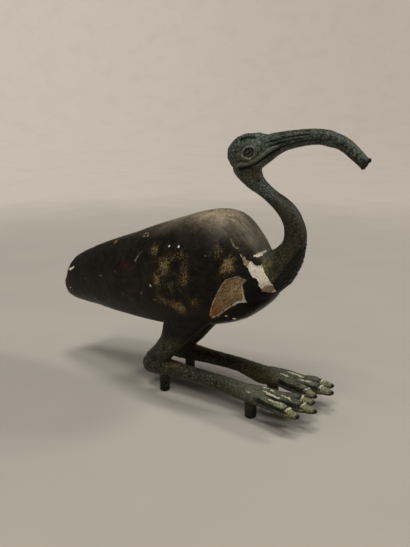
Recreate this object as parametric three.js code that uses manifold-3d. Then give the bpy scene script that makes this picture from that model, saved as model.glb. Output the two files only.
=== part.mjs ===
// An ibis figure at its real size, in millimetres. The body is carved wood under gesso and dark
// varnish, and the head with its neck and the two legs are bronze castings let into it.
// X runs forward to the bill, Y to the bird's left and Z up from the table that the pegs stand on.
// Shapes are laid out from the rear pegs, at x = 0, and the whole is centred at the end.

import * as THREE from "three";
import { mergeVertices } from "three/addons/utils/BufferGeometryUtils.js";
import Module from "manifold-3d";

const wasm = await Module();
wasm.setup();

// Driving dimensions
const tailEnd = -116;
const billEnd = 152.2;
const legSpacing = 37.2;
const pegSpacing = 80.8;
const pegHeight = 13.4;
const rearPegRadius = 4.15;
const frontPegTopRadius = 5.1;
const frontPegFootRadius = 4.4;
const seamGap = 0.3;
const gessoDepth = 1.1;
const varnishDepth = 0.5;
const wingRidgeHeight = 1.8;
const mouthGrooveDepth = 0.5;

// Faces around each kind of section, and rings in each span between two stations
const bodySides = 36;
const bodySteps = 3;
const neckSides = 16;
const headSides = 20;
const castSteps = 2;
const limbSides = 14;
const toeSides = 10;
const pegSides = 16;
const rollSides = 6;
const rollSteps = 7;
const rimSides = 5;
const eyeSides = 14;
const eyeBallRings = 6;

// A station is one cross-section: the x and z of one edge, the x and z of the edge across from it,
// half its width, and the y of its middle where that isn't zero.
// From tail to breast, the upper edge first
const bodyStations = [
  [tailEnd + 3.2, 85.5, tailEnd, 65, 10],
  [-108.6, 96, -112.4, 57.6, 16],
  [-84, 108.8, -88, 55.6, 21.5],
  [-44, 124.5, -46, 54.4, 30],
  [-2, 140.2, -4, 54.6, 37.5],
  [31, 151.2, 34, 60.6, 41],
  [53.5, 152.2, 64.6, 70.4, 35.5],
  [71, 138.5, 85.4, 86.4, 21.5],
  [80.4, 122.6, 94.4, 99.4, 11.5],
];

// From the breast up to the skull, the edge on the inside of the curve first
const neckStations = [
  [74, 121, 90, 95, 12],
  [83.2, 126, 98.2, 101, 10.9],
  [89.5, 129.5, 104.3, 108.6, 9.5],
  [94, 134.5, 109, 119.6, 8.4],
  [95.4, 141, 111.4, 132, 8],
  [93.8, 148.8, 110, 146.5, 7.8],
  [88, 156, 101, 161, 7],
  [77, 164.5, 85.1, 171, 6],
  [64, 171.5, 75.5, 178.2, 6.4],
  [53.7, 181, 73.5, 186, 8.5],
  [53, 191, 74, 193, 8.5],
];

// From the back of the skull to the broken end of the bill, the upper edge first
const headStations = [
  [50.2, 200, 49.4, 191, 4.5],
  [53.7, 204, 52.2, 185, 8],
  [60.5, 208, 59, 181, 10.3],
  [70, 209.4, 71.5, 182.5, 10.3],
  [79, 208.8, 81.2, 189.4, 8.2],
  [91, 210.8, 92, 196.8, 6.2],
  [104, 212.4, 104.5, 200.9, 5.4],
  [116, 213.2, 115.5, 202.5, 5],
  [127, 211.8, 124, 201.8, 4.8],
  [137, 207.6, 132.5, 199.4, 4.6],
  [145.5, 201.4, 139.8, 194.6, 4.4],
  [billEnd, 194.2, billEnd - 4, 188.2, 4],
];

// Carving of the right side of the head, as x, y and z. The left side mirrors it.
const browPath = [
  [59.5, -6, 205],
  [64, -4.6, 208.2],
  [70, -3.9, 209.2],
  [73.5, -4, 208.3],
  [77, -4.8, 205.4],
];
const jawPath = [
  [59.5, -8, 186.6],
  [67, -9.2, 188.8],
  [75, -8.3, 191.7],
  [83, -6.6, 196.4],
  [92, -5.2, 201.6],
];
const throatPath = [
  [64, -8.8, 184.4],
  [72, -8.4, 187.4],
  [79.5, -6.6, 191],
  [87, -5.8, 196.6],
  [97, -5.4, 201.6],
];
const browRadius = 1.2;
const jawRadius = 1.3;
const throatRadius = 1;
// Half the length and half the height of the eye to the middle of its rim, the rim's own radius,
// how much of the eye the ball fills, and how far the front of the eye is turned up
const eye = { x: 70, y: -9.9, z: 196, length: 4.8, height: 3.3, rim: 0.95, ball: 0.6, tilt: 0.45 };

// From inside the body down to the hock, the front edge first
const thighStations = [
  [44, 68, 18, 90, 10.5],
  [32, 57, 8, 75, 9.8],
  [22.8, 47.6, 1.8, 61.5, 8.8],
  [13.7, 37, -1.5, 49.2, 8],
  [5, 28, -8.8, 38.6, 7.4],
  [-2, 20, -17, 30.2, 6.6],
];

// From the back of the hock forward under the ankle, the upper edge first. The ankle hangs lowest
// at its own place on each leg.
const shankStations = ({ ankle, ankleUnderside }) => [
  [-20.4, 22.5, -20, 17.5, 2.5],
  [-18.8, 26.5, -17.6, 14.2, 5.4],
  [-13, 30, -12, 12.8, 7.2],
  [0, 28.8, 3, 13.8, 7],
  [22, 27.2, 22, 14.9, 6.2],
  [ankle - 20, 26.8, ankle - 20, 14.8, 6],
  [ankle, 25.5, ankle, ankleUnderside, 7],
  [ankle + 12, 23, ankle + 12, 13.8, 7.8],
  [94, 22.4, 94, 14, 7.6],
];

// One toe from its root to the tip of its claw: how far along it is, top, underside, half width
const toeStations = [
  [0, 23.8, 14, 5.4],
  [0.28, 23.2, 14.2, 5.4],
  [0.5, 22, 14.4, 5.1],
  [0.68, 22.8, 14.2, 5.2],
  [0.8, 22, 14, 4.6],
  [0.84, 21, 14.6, 3.7],
  [0.94, 20.2, 15.2, 2.6],
  [1, 19, 17, 0.9],
];
const toeRoot = 76;
const toeRootSpread = 2.4;

// Reach of each toe's claw and how far it lies to the bird's left of the leg's own line
const rightLeg = {
  side: -1,
  ankle: 74,
  ankleUnderside: 12.6,
  toes: [
    { reach: 125.5, aside: -11 },
    { reach: 133, aside: 3 },
    { reach: 126.5, aside: 14.6 },
  ],
};
const leftLeg = {
  side: 1,
  ankle: 69,
  ankleUnderside: 11.2,
  toes: [
    { reach: 128, aside: 10.5 },
    { reach: 132.5, aside: -1 },
    { reach: 124, aside: -13 },
  ],
};

const fullTurn = 2 * Math.PI;

// A smooth curve through the rows of a table, taken at place, counted in rows
function alongTable(rows, place) {
  const last = rows.length - 1;
  const start = Math.min(Math.floor(place), last - 1);
  const t = place - start;
  const row = (i) => rows[Math.max(0, Math.min(last, i))];
  const [p0, p1, p2, p3] = [row(start - 1), row(start), row(start + 1), row(start + 2)];
  return p1.map((value, i) => {
    const leave = (p2[i] - p0[i]) / 2;
    const arrive = (p3[i] - p1[i]) / 2;
    const gap = p2[i] - value;
    const bend = 3 * gap - 2 * leave - arrive;
    const twist = leave + arrive - 2 * gap;
    return value + t * (leave + t * (bend + t * twist));
  });
}

const oval = (angle) => [Math.cos(angle), Math.sin(angle)];

// A closed skin over the stations. The section gives up and side, each from -1 to 1, for an angle
// from the first edge, and the share of the length that it is at.
function loft(stations, sides, steps, section = oval) {
  const rings = (stations.length - 1) * steps;
  const points = [];
  const faces = [];
  for (let i = 0; i <= rings; i++) {
    const [x1, z1, x2, z2, half, middle = 0] = alongTable(stations, i / steps);
    for (let k = 0; k < sides; k++) {
      const [up, side] = section((k / sides) * fullTurn, i / rings, half);
      points.push((x1 + x2 + up * (x1 - x2)) / 2, middle + side * half, (z1 + z2 + up * (z1 - z2)) / 2);
    }
  }
  const at = (i, k) => i * sides + (k % sides);
  for (let k = 0; k < sides; k++) {
    for (let i = 0; i < rings; i++) {
      faces.push(at(i, k), at(i + 1, k), at(i + 1, k + 1), at(i, k), at(i + 1, k + 1), at(i, k + 1));
    }
  }
  for (const [ring, flip] of [[0, false], [rings, true]]) {
    for (let k = 1; k < sides - 1; k++) {
      const [b, c] = flip ? [at(ring, k + 1), at(ring, k)] : [at(ring, k), at(ring, k + 1)];
      faces.push(at(ring, 0), b, c);
    }
  }
  const geometry = new THREE.BufferGeometry();
  geometry.setAttribute("position", new THREE.Float32BufferAttribute(points, 3));
  geometry.setIndex(faces);
  return geometry;
}

// The same closed skin moved outwards, or inwards for a distance below zero
function swollen(geometry, distance) {
  const moved = geometry.clone();
  moved.computeVertexNormals();
  const place = moved.attributes.position;
  const normal = moved.attributes.normal;
  for (let i = 0; i < place.count; i++) {
    place.setXYZ(
      i,
      place.getX(i) + distance * normal.getX(i),
      place.getY(i) + distance * normal.getY(i),
      place.getZ(i) + distance * normal.getZ(i),
    );
  }
  return moved;
}

function toSolid(geometry) {
  const bare = geometry.clone();
  bare.deleteAttribute("normal");
  bare.deleteAttribute("uv");
  const welded = mergeVertices(bare, 1e-4);
  const vertProperties = new Float32Array(welded.attributes.position.array);
  const triVerts = new Uint32Array(welded.index.array);
  return new wasm.Manifold(new wasm.Mesh({ numProp: 3, vertProperties, triVerts }));
}

function toGeometry(solid) {
  const mesh = solid.getMesh();
  const geometry = new THREE.BufferGeometry();
  geometry.setAttribute("position", new THREE.BufferAttribute(new Float32Array(mesh.vertProperties), 3));
  geometry.setIndex(new THREE.BufferAttribute(new Uint32Array(mesh.triVerts), 1));
  geometry.computeVertexNormals();
  return geometry;
}

function joined(solids) {
  return solids.reduce((whole, solid) => whole.add(solid));
}

// Body: an egg-shaped section, narrower on the back. A soft ridge along each wing's upper edge runs
// back from the shoulder and climbs towards the middle of the back as it fades. The ridge's places
// and its width are angles from the middle of the back.
const ridgeWidth = 0.2;
const ridgeAtShoulder = 0.78;
const ridgeAtTail = 0.2;
const ridgeClimb = 1.5;
const ridgeSwell = 0.7;
const backNarrowing = 0.1;
function bodySection(angle, share, half) {
  const [up, side] = oval(angle);
  const ridgeAngle = ridgeAtTail + (ridgeAtShoulder - ridgeAtTail) * share ** ridgeClimb;
  const fromRidge = (Math.min(angle, fullTurn - angle) - ridgeAngle) / ridgeWidth;
  const fade = Math.sin(Math.PI * share) ** ridgeSwell * share;
  const ridge = 1 + (wingRidgeHeight / half) * fade * Math.exp(-(fromRidge ** 2));
  return [up * ridge, side * ridge * (1 - backNarrowing * up)];
}

const bodySkin = loft(bodyStations, bodySides, bodySteps, bodySection);

// Where the coat has broken away from the right side, as x and z seen from the right: one patch
// down to the wood on the breast, and a strip of bare gesso that runs up from the neck
const breastLoss = [
  [65.5, 110.2],
  [70, 112.2],
  [75, 111.6],
  [77, 108.3],
  [76, 104],
  [75, 96.5],
  [77.6, 91.6],
  [72.8, 91],
  [64.5, 83.8],
  [51, 74],
  [54, 86],
  [61, 101],
];
const neckLoss = [
  [69, 129.6],
  [71.3, 129.2],
  [76.2, 123.7],
  [82, 119.5],
  [92, 112],
  [95, 99],
  [88.5, 97.5],
  [84.6, 102.5],
  [82.5, 107.7],
  [79.4, 111.3],
  [75, 119],
];

// The coat over an outline, from its surface down to a depth, on the right side alone
const beyondBody = 60;
function loss(outline, depth) {
  const shape = new THREE.Shape(outline.map(([x, z]) => new THREE.Vector2(x, z)));
  const prism = new THREE.ExtrudeGeometry(shape, { depth: beyondBody, bevelEnabled: false });
  prism.rotateX(Math.PI / 2);
  return toSolid(prism).subtract(toSolid(swollen(bodySkin, -depth)));
}

function makeBody() {
  return toSolid(bodySkin).subtract(loss(breastLoss, gessoDepth)).subtract(loss(neckLoss, varnishDepth));
}

const bodyClearance = toSolid(swollen(bodySkin, seamGap));

// Head and neck: a shallow groove along both sides of the bill is the mouth
const mouthStart = 0.4;
const mouthEnd = 0.85;
const mouthTaper = 0.1;
const mouthWidth = 0.1;
function headSection(angle, share, half) {
  const [up, side] = oval(angle);
  const fromEnd = Math.min(share - mouthStart, mouthEnd - share);
  const open = Math.max(0, Math.min(1, fromEnd / mouthTaper));
  const groove = (mouthGrooveDepth / half) * open * Math.exp(-((up / mouthWidth) ** 2));
  return [up, side * (1 - groove)];
}

// A round roll along a path that starts and ends inside the head, on the side given as -1 or 1
function roll(path, radius, side) {
  const points = path.map(([x, y, z]) => new THREE.Vector3(x, -side * y, z));
  const corner = (_, k) => new THREE.Vector2(...oval((k / rollSides) * fullTurn)).multiplyScalar(radius);
  const ring = new THREE.Shape(Array.from({ length: rollSides }, corner));
  const extrudePath = new THREE.CatmullRomCurve3(points);
  return toSolid(new THREE.ExtrudeGeometry(ring, { steps: rollSteps, bevelEnabled: false, extrudePath }));
}

function makeEye(side) {
  const rim = new THREE.TorusGeometry(1, eye.rim / eye.length, rimSides, eyeSides);
  rim.scale(eye.length, eye.height, eye.length);
  const ball = new THREE.SphereGeometry(1, eyeSides, eyeBallRings);
  ball.scale(eye.length * eye.ball, eye.height * eye.ball, eye.rim);
  return [rim, ball].map((shape) => {
    shape.rotateZ(-side * eye.tilt);
    shape.rotateX((-side * Math.PI) / 2);
    shape.translate(eye.x, -side * eye.y, eye.z);
    return toSolid(shape);
  });
}

function makeHeadAndNeck() {
  const neck = toSolid(loft(neckStations, neckSides, castSteps));
  const head = toSolid(loft(headStations, headSides, castSteps, headSection));
  const sides = [-1, 1];
  const raised = sides.flatMap((side) => [
    roll(browPath, browRadius, side),
    roll(jawPath, jawRadius, side),
    ...makeEye(side),
  ]);
  const grooves = joined(sides.map((side) => roll(throatPath, throatRadius, side)));
  return joined([neck, head, ...raised]).subtract(grooves).subtract(bodyClearance);
}

// Legs: the toes grow side by side out of one foot, the middle one from its centre
function toe({ reach, aside }) {
  const rootSide = Math.abs(aside) > toeRootSpread ? Math.sign(aside) * toeRootSpread : 0;
  const stations = toeStations.map(([share, top, under, half]) => {
    const x = toeRoot + share * (reach - toeRoot);
    return [x, top, x, under, half, rootSide + (aside - rootSide) * share];
  });
  return toSolid(loft(stations, toeSides, castSteps));
}

const sunkIntoLeg = 6;
function peg(x, topRadius, footRadius) {
  const height = pegHeight + sunkIntoLeg;
  const geometry = new THREE.CylinderGeometry(topRadius, footRadius, height, pegSides);
  geometry.rotateX(Math.PI / 2);
  geometry.translate(x, 0, height / 2);
  return toSolid(geometry);
}

function makeLeg(leg) {
  const parts = [
    toSolid(loft(thighStations, limbSides, castSteps)),
    toSolid(loft(shankStations(leg), limbSides, castSteps)),
    ...leg.toes.map(toe),
    peg(0, rearPegRadius, rearPegRadius),
    peg(pegSpacing, frontPegTopRadius, frontPegFootRadius),
  ];
  return joined(parts).translate([0, (leg.side * legSpacing) / 2, 0]).subtract(bodyClearance);
}

function meshOf(name, solid, material) {
  const mesh = new THREE.Mesh(toGeometry(solid), material);
  mesh.name = name;
  return mesh;
}

const varnish = () => new THREE.MeshStandardMaterial({ color: 0x3a352d, roughness: 0.5, metalness: 0 });
const bronze = (color) => new THREE.MeshStandardMaterial({ color, roughness: 0.65, metalness: 0.4 });

const ibis = new THREE.Group();
ibis.add(
  meshOf("body", makeBody(), varnish()),
  meshOf("head_and_neck", makeHeadAndNeck(), bronze(0x4d5a50)),
  meshOf("right_leg", makeLeg(rightLeg), bronze(0x4b5140)),
  meshOf("left_leg", makeLeg(leftLeg), bronze(0x4b5140)),
);
ibis.position.x = -(tailEnd + billEnd) / 2;

export default ibis;
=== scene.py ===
# The looks of the ibis figure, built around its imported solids: a wooden body under gesso and dark
# varnish, a bronze head and neck, and two bronze legs. Shapes are laid out in millimetres, with
# x = 0 at the rear pegs, as in the part's own source, and moved to the frame at the end.
import math

import bpy
import numpy as np
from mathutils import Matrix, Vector


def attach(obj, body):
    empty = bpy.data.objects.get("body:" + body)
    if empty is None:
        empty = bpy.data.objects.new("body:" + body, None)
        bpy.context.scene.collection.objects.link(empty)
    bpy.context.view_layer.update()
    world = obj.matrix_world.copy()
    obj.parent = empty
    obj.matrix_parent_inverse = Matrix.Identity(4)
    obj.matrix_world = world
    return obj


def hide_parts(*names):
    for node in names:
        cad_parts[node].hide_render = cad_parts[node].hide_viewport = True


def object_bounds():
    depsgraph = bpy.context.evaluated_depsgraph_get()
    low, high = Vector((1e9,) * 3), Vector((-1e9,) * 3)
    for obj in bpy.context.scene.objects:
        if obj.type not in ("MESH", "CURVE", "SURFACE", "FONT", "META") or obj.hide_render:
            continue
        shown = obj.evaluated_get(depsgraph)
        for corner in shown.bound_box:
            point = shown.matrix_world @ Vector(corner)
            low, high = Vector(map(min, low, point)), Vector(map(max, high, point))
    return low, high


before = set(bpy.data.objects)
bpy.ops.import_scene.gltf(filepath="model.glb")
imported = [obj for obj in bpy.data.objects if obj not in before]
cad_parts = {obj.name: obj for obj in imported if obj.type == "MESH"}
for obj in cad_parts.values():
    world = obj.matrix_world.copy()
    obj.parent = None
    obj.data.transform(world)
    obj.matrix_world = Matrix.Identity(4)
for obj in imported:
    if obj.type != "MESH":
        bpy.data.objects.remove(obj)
cad_low, cad_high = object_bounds()

# Driving dimensions, in millimetres
TAIL_END = -116
BILL_END = 152.2
LEG_SPACING = 37.2
PEG_SPACING = 80.8
PEG_HEIGHT = 13.4
REAR_PEG_RADIUS = 4.15
FRONT_PEG_TOP_RADIUS = 5.1
FRONT_PEG_FOOT_RADIUS = 4.4
COAT_DEPTH = 1.1
VARNISH_DEPTH = 0.5
WING_RIDGE_HEIGHT = 1.8

# Fineness of the meshes
BODY_RINGS = 288
BODY_SIDES = 288
CAP_RINGS = 8
LOFT_RINGS = 96
LOFT_SIDES = 64
BRONZE_VOXEL = 0.45
BRONZE_SMOOTHING = 6

FULL_TURN = 2 * math.pi
TO_FRAME = Vector((cad_low.x * 1000 - TAIL_END, 0, 0))

# A station is one cross-section: the x and z of one edge, the x and z of the edge across from it,
# half its width, and the y of its middle where that isn't zero
BODY_STATIONS = [
    (TAIL_END + 3.2, 85.5, TAIL_END, 65, 10),
    (-108.6, 96, -112.4, 57.6, 16),
    (-84, 108.8, -88, 55.6, 21.5),
    (-44, 124.5, -46, 54.4, 30),
    (-2, 140.2, -4, 54.6, 37.5),
    (31, 151.2, 34, 60.6, 41),
    (53.5, 152.2, 64.6, 70.4, 35.5),
    (71, 138.5, 85.4, 86.4, 21.5),
    (80.4, 122.6, 94.4, 99.4, 11.5),
]
NECK_STATIONS = [
    (74, 121, 90, 95, 12),
    (83.2, 126, 98.2, 101, 10.9),
    (89.5, 129.5, 104.3, 108.6, 9.5),
    (94, 134.5, 109, 119.6, 8.4),
    (95.4, 141, 111.4, 132, 8),
    (93.8, 148.8, 110, 146.5, 7.8),
    (88, 156, 101, 161, 7),
    (77, 164.5, 85.1, 171, 6),
    (64, 171.5, 76.6, 178.6, 6.4),
    (53.7, 181, 74.8, 185.6, 8.5),
    (53, 191, 74, 193, 8.5),
]
HEAD_STATIONS = [
    (50.2, 200, 49.4, 191, 4.5),
    (53.7, 204, 52.2, 185, 8),
    (60.5, 208, 59, 181, 10.3),
    (70, 209.4, 71.5, 182.5, 10.3),
    (79, 208.8, 81.2, 189.4, 8.2),
    (91, 210.8, 92, 196.8, 6.2),
    (104, 212.4, 104.5, 200.9, 5.4),
    (116, 213.2, 115.5, 202.5, 5),
    (127, 211.8, 124, 201.8, 4.8),
    (137, 207.6, 132.5, 199.4, 4.6),
    (145.5, 201.4, 139.8, 194.6, 4.4),
    (BILL_END, 194.2, BILL_END - 4, 188.2, 4),
]
THIGH_STATIONS = [
    (44, 68, 18, 90, 10.5),
    (32, 57, 8, 75, 9.8),
    (22.8, 47.6, 1.8, 61.5, 8.8),
    (13.7, 37, -1.5, 49.2, 8),
    (5, 28, -8.8, 38.6, 7.4),
    (-2, 20, -17, 30.2, 6.6),
]
TOE_STATIONS = [
    (0, 24.8, 14, 5.4),
    (0.28, 24.1, 14.2, 5.4),
    (0.5, 22.4, 14.4, 5.1),
    (0.68, 22.8, 14.2, 5.2),
    (0.8, 22, 14, 4.6),
    (0.84, 21, 14.6, 3.7),
    (0.94, 20.2, 15.2, 2.6),
    (1, 19, 17, 0.9),
]
TOE_ROOT = 76
TOE_ROOT_SPREAD = 2.4
NAIL_ROOT = 0.82
RIGHT_LEG = {"side": -1, "ankle": 74, "underside": 12.6, "toes": [(125.5, -11), (133, 3), (126.5, 14.6)]}
LEFT_LEG = {"side": 1, "ankle": 69, "underside": 9.8, "toes": [(128, 10.5), (132.5, -1), (124, -13)]}


def shank_stations(leg):
    ankle = leg["ankle"]
    return [
        (-20.4, 22.5, -20, 17.5, 2.5),
        (-18.8, 26.5, -17.6, 14.2, 5.4),
        (-13, 30, -12, 12.8, 7.2),
        (0, 28.8, 3, 13.8, 7),
        (22, 27.2, 22, 14.9, 6.2),
        (ankle - 20, 26.8, ankle - 20, 14.8, 6),
        (ankle, 25.5, ankle, leg["underside"], 7),
        (ankle + 12, 24.6, ankle + 12, leg["underside"] + 1.6, 7.8),
        (94, 23.4, 94, 14, 7.6),
    ]


# Where the coat has gone from the right side, as x and z seen from the right
BREAST_LOSS = [
    (65.5, 109.3), (68.7, 110.8), (73.1, 112.2), (74, 111), (77.7, 108.6), (75.5, 105.7),
    (76.3, 100.7), (76.3, 94.9), (77.4, 91.4), (72.8, 91.2), (65.8, 85.9), (57.3, 78.8),
    (51.3, 75.2), (50.8, 78.3), (54.6, 87.4), (58.5, 95.2), (62.5, 103.5),
]
NECK_LOSS = [
    (70.1, 128.2), (73, 124.8), (75.2, 122.4), (77.9, 120.8), (81.1, 118.3), (83, 117), (86, 119), (92, 114), (95, 98), (88.8, 98.3), (86.2, 100), (84.6, 104.5), (84.5, 106.7), (79.8, 111.7),
    (78, 116.3), (74.4, 119.8), (71.6, 125), (70.1, 127.6),
]


# Numbers for whole arrays of points

def along_table(rows, places):
    """A smooth curve through the rows of a table, taken at places counted in rows."""
    rows = np.asarray(rows, float)
    last = len(rows) - 1
    start = np.minimum(places.astype(int), last - 1)
    t = (places - start)[:, None]
    before, here, there, after = (rows[np.clip(start + k, 0, last)] for k in (-1, 0, 1, 2))
    leave = (there - before) / 2
    arrive = (after - here) / 2
    gap = there - here
    bend = 3 * gap - 2 * leave - arrive
    return here + t * (leave + t * (bend + t * (leave + arrive - 2 * gap)))


def step(value, low, high):
    """0 below low, 1 above high and smooth between."""
    t = np.clip((value - low) / (high - low), 0, 1)
    return t * t * (3 - 2 * t)


def scatter(cells, seed):
    """A repeatable number from 0 to 1 for each whole-numbered cell."""
    mixed = cells[..., 0] * 374761393 + cells[..., 1] * 668265263 + cells[..., 2] * 69069069 + seed * 9176263
    mixed = (mixed & 0xFFFFFFFF) * 1274126177
    mixed = ((mixed & 0xFFFFFFFF) ^ ((mixed & 0xFFFFFFFF) >> 15)) * 2246822519
    return (((mixed & 0xFFFFFFFF) ^ ((mixed & 0xFFFFFFFF) >> 13)) & 0xFFFFF) / 0xFFFFF


def noise(points, size, seed=0):
    """Smooth noise from -1 to 1 whose lumps are about size across. size is one number or three."""
    scaled = points / size
    cell = np.floor(scaled).astype(np.int64)
    t = scaled - cell
    t = t * t * (3 - 2 * t)
    total = np.zeros(len(points))
    for corner in np.ndindex(2, 2, 2):
        weight = np.prod(np.where(corner, t, 1 - t), axis=1)
        total += weight * scatter(cell + corner, seed)
    return 2 * total - 1


def fractal(points, size, octaves=3, seed=0):
    """Noise with finer and weaker copies of itself added."""
    return sum(noise(points, size / 2**k, seed + k) / 2**k for k in range(octaves))


def pits(points, size, share, seed=0):
    """1 at the middle of round pits and 0 away from them. share is how many cells hold one."""
    scaled = points / size
    cell = np.floor(scaled).astype(np.int64)
    deepest = np.zeros(len(points))
    for offset in np.ndindex(3, 3, 3):
        home = cell + offset - 1
        middle = home + np.stack([scatter(home, seed + k) for k in (1, 2, 3)], axis=1)
        radius = 0.2 + 0.35 * scatter(home, seed + 4)
        near = 1 - np.linalg.norm(scaled - middle, axis=1) / radius
        deepest = np.maximum(deepest, np.where(scatter(home, seed + 5) < share, step(near, 0, 0.8), 0))
    return deepest


def near_path(points, path, closed=False):
    """Distance to a path, how far along it the nearest place is, from 0 to 1, and for a closed flat
    path whether each point is inside it."""
    path = np.asarray(path, float)
    ends = np.roll(path, -1, axis=0) if closed else path[1:]
    starts = path if closed else path[:-1]
    best = np.full(len(points), np.inf)
    along = np.zeros(len(points))
    inside = np.zeros(len(points), bool)
    for i, (a, b) in enumerate(zip(starts, ends)):
        run = b - a
        t = np.clip((points - a) @ run / (run @ run), 0, 1)
        distance = np.linalg.norm(points - a - t[:, None] * run, axis=1)
        along = np.where(distance < best, (i + t) / len(starts), along)
        best = np.minimum(best, distance)
        if closed:
            crosses = (a[1] > points[:, 1]) != (b[1] > points[:, 1])
            rise = run[1] if run[1] else 1
            inside ^= crosses & (points[:, 0] < a[0] + (points[:, 1] - a[1]) / rise * run[0])
    return best, along, inside


def smooth_path(path, steps=6):
    return along_table(path, np.linspace(0, len(path) - 1, (len(path) - 1) * steps + 1))


def stroke(points, path, width, height, taper=0.15):
    """A raised line, or a groove for a height below zero, along a smooth path in space."""
    distance, along, _ = near_path(points, smooth_path(path))
    ends = step(np.minimum(along, 1 - along), -0.01, taper) if taper else 1
    return height * np.exp(-((distance / width) ** 2)) * ends


def mirrored(path):
    return [(x, -y, z) for x, y, z in path]


def both_sides(points, path, width, height, taper=0.15):
    return sum(stroke(points, p, width, height, taper) for p in (path, mirrored(path)))


def spot(points, x, z, across, tall, side=-1, turn=0.0):
    """1 at the middle of a soft oval on one side, fading out to 0. side is -1 for the right."""
    dx = points[:, 0] - x
    dz = points[:, 2] - z
    u = (dx * math.cos(turn) + dz * math.sin(turn)) / across
    v = (dz * math.cos(turn) - dx * math.sin(turn)) / tall
    return np.exp(-(u * u + v * v)) * step(side * points[:, 1], -2, 2)


# Meshes

def oval(angle, share, half):
    return np.cos(angle), np.sin(angle)


def loft(stations, sides, rings, section=oval, dome=0.0):
    """Points and faces of a closed skin over the stations. dome rounds both ends by that much."""
    table = [tuple(row) + (0,) * (6 - len(row)) for row in stations]
    x1, z1, x2, z2, half, middle = (
        c[:, None] for c in along_table(table, np.linspace(0, len(table) - 1, rings + 1)).T
    )
    angle = np.linspace(0, FULL_TURN, sides, endpoint=False)[None, :]
    share = np.linspace(0, 1, rings + 1)[:, None]
    up, side = section(angle, share, half)
    skin = np.stack(
        [(x1 + x2 + up * (x1 - x2)) / 2, middle + side * half + 0 * up, (z1 + z2 + up * (z1 - z2)) / 2], axis=2
    )
    rows = list(skin)
    for first in (True, False):
        edge, inner = (skin[0], skin[1]) if first else (skin[-1], skin[-2])
        centre = edge.mean(axis=0)
        out = edge.mean(axis=0) - inner.mean(axis=0)
        out /= np.linalg.norm(out)
        for turn in np.linspace(0, math.pi / 2, CAP_RINGS + 1)[1:-1]:
            ring = centre + (edge - centre) * math.cos(turn) + out * dome * math.sin(turn)
            rows.insert(0, ring) if first else rows.append(ring)
        tip = centre + out * dome
        tip = tip[None, :]
        rows.insert(0, tip) if first else rows.append(tip)
    points = np.concatenate(rows)
    last = len(points) - 1
    k = np.arange(sides)
    beside = (k + 1) % sides
    faces = []
    for i in range(len(rows) - 3):
        a = 1 + i * sides
        faces += np.stack([a + k, a + sides + k, a + sides + beside, a + beside], axis=1).tolist()
    faces += np.stack([0 * k, 1 + k, 1 + beside], axis=1).tolist()
    faces += np.stack([0 * k + last, last - sides + beside, last - sides + k], axis=1).tolist()
    return points, faces


def peg(x, top_radius, foot_radius):
    """A round peg with a small worn edge round its foot, sunk into the leg above."""
    worn = 0.7
    stations = [
        (x - foot_radius + worn, 0, x + foot_radius - worn, 0, foot_radius - worn),
        (x - foot_radius, worn, x + foot_radius, worn, foot_radius),
        (x - top_radius, PEG_HEIGHT + 6, x + top_radius, PEG_HEIGHT + 6, top_radius),
    ]
    return loft([tuple(reversed_edges(row)) for row in stations], LOFT_SIDES, 2)


def reversed_edges(row):
    return row[2], row[3], row[0], row[1], row[4]


def mesh_of(name, parts):
    """One mesh of several closed skins."""
    points = []
    faces = []
    for skin, skin_faces in parts:
        start = len(points)
        points += skin.tolist()
        faces += [[start + i for i in face] for face in skin_faces]
    mesh = bpy.data.meshes.new(name)
    mesh.from_pydata(points, [], faces)
    mesh.update()
    return mesh


def fused(name, parts):
    """One even skin round several skins that run into each other."""
    rough = bpy.data.objects.new(name, mesh_of(name, parts))
    bpy.context.scene.collection.objects.link(rough)
    voxels = rough.modifiers.new("fuse", "REMESH")
    voxels.mode = "VOXEL"
    voxels.voxel_size = BRONZE_VOXEL
    soft = rough.modifiers.new("soften", "SMOOTH")
    soft.factor = 0.5
    soft.iterations = BRONZE_SMOOTHING
    depsgraph = bpy.context.evaluated_depsgraph_get()
    mesh = bpy.data.meshes.new_from_object(rough.evaluated_get(depsgraph))
    bpy.data.objects.remove(rough)
    mesh.name = name
    return mesh


def read(mesh, what):
    values = np.zeros(len(mesh.vertices) * 3, np.float32)
    mesh.vertices.foreach_get(what, values)
    return values.reshape(-1, 3).astype(float)


def write(mesh, points):
    mesh.vertices.foreach_set("co", points.astype(np.float32).ravel())
    mesh.update()


def carve(mesh, depth):
    """Moves each point out along its own normal."""
    points = read(mesh, "co")
    write(mesh, points + read(mesh, "normal") * depth[:, None])


def finish_piece(name, mesh, material, node, masks):
    """Puts a mesh in the frame with its masks and its material, in place of a solid."""
    for mask, values in masks.items():
        mesh.attributes.new(mask, "FLOAT", "POINT").data.foreach_set("value", values.astype(np.float32))
    write(mesh, (read(mesh, "co") + np.array(TO_FRAME)) / 1000)
    mesh.shade_smooth()
    mesh.materials.clear()
    mesh.materials.append(material)
    piece = bpy.data.objects.new(name, mesh)
    bpy.context.scene.collection.objects.link(piece)
    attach(piece, "root")
    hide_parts(node)
    return piece


# Materials

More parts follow.
